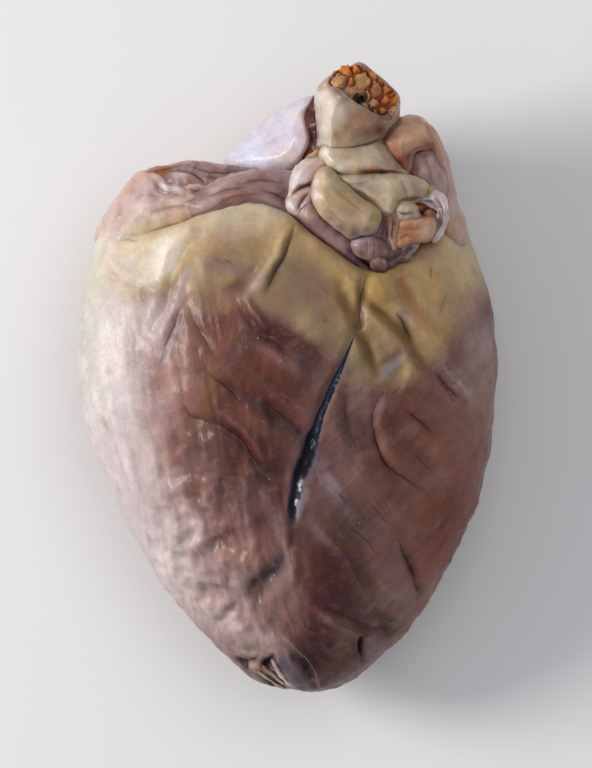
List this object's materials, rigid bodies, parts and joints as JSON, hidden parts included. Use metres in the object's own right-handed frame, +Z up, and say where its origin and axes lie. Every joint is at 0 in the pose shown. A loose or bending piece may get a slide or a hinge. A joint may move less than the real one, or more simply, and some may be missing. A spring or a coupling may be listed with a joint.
{
  "type": "preserved pig heart",
  "caption": "Whole preserved heart lying on its back: tapered ventricles under a band of fat, a dark front vein, folded auricles, cream folds at the base and a cut thick-walled vessel.",
  "frame": {"origin": "on the table under the middle of the ventricles, at the centre of the small flat spot that the heart rests on", "axes": "+Y along the heart from the apex towards the cut vessel, +X to the right of the shown face, +Z up out of the shown face"},
  "size_m": [0.0934, 0.14, 0.0625],
  "materials": {
    "tissue": "satin, moist"
  },
  "bodies": {
    "root": {"heart": "tissue"}
  },
  "joints": []
}
